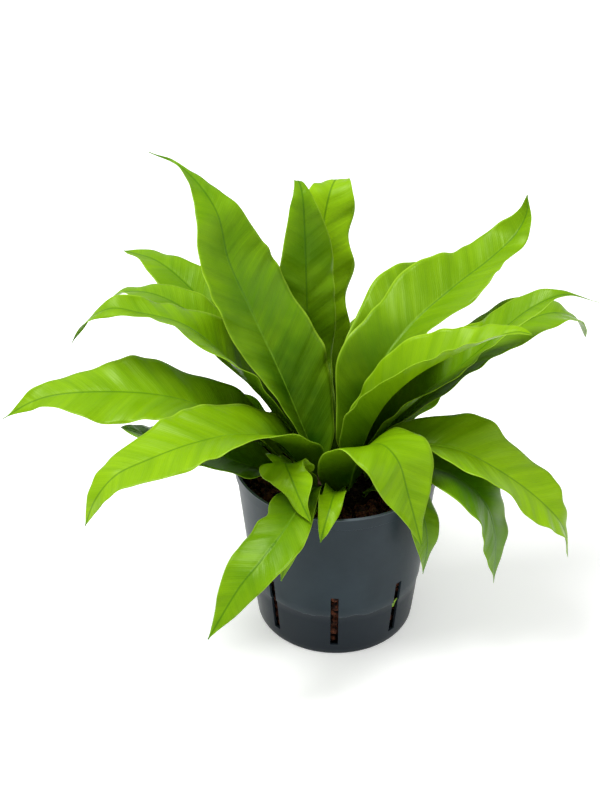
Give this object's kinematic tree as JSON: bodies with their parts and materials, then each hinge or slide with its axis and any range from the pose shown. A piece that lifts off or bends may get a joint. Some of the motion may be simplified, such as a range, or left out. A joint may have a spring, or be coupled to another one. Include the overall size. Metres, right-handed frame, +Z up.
{
  "type": "potted fern",
  "caption": "Bird's nest fern, a rosette of waved strap-shaped fronds on a short crown, standing in clay granules in a slotted plastic pot.",
  "frame": {"origin": "middle of the pot's underside, on the surface that it stands on", "axes": "+Z up along the pot's axis, -Y towards the side that shows in the picture, +X to that view's right"},
  "size_m": [0.3598, 0.2565, 0.2842],
  "materials": {
    "pot": "satin moulded plastic, dark slate grey",
    "clay": "rough fired clay, reddish brown, slightly damp",
    "crown": "rough dark brown scales",
    "frond": "smooth leaf with a soft shine, fresh green"
  },
  "bodies": {
    "root": {"pot": "pot", "clay_granules": "clay", "crown": "crown", "frond_tall_left": "frond", "frond_upright": "frond", "frond_upright_back": "frond", "frond_tall_right": "frond", "frond_right_back": "frond", "frond_left_high": "frond", "frond_left_thin": "frond", "frond_left_arched": "frond", "frond_left_broad": "frond", "frond_left_front": "frond", "frond_left_under": "frond", "frond_front_left": "frond", "frond_front_left_low": "frond", "frond_lobed": "frond", "frond_front_curled": "frond", "frond_front_right": "frond", "frond_right_drooping": "frond", "frond_right_low": "frond", "frond_right_broad": "frond", "frond_right_pale": "frond", "frond_right_long": "frond", "frond_right_hooked": "frond", "frond_back_left": "frond", "frond_back": "frond", "frond_back_right": "frond", "frond_back_low_left": "frond", "frond_back_low_right": "frond"}
  },
  "joints": []
}
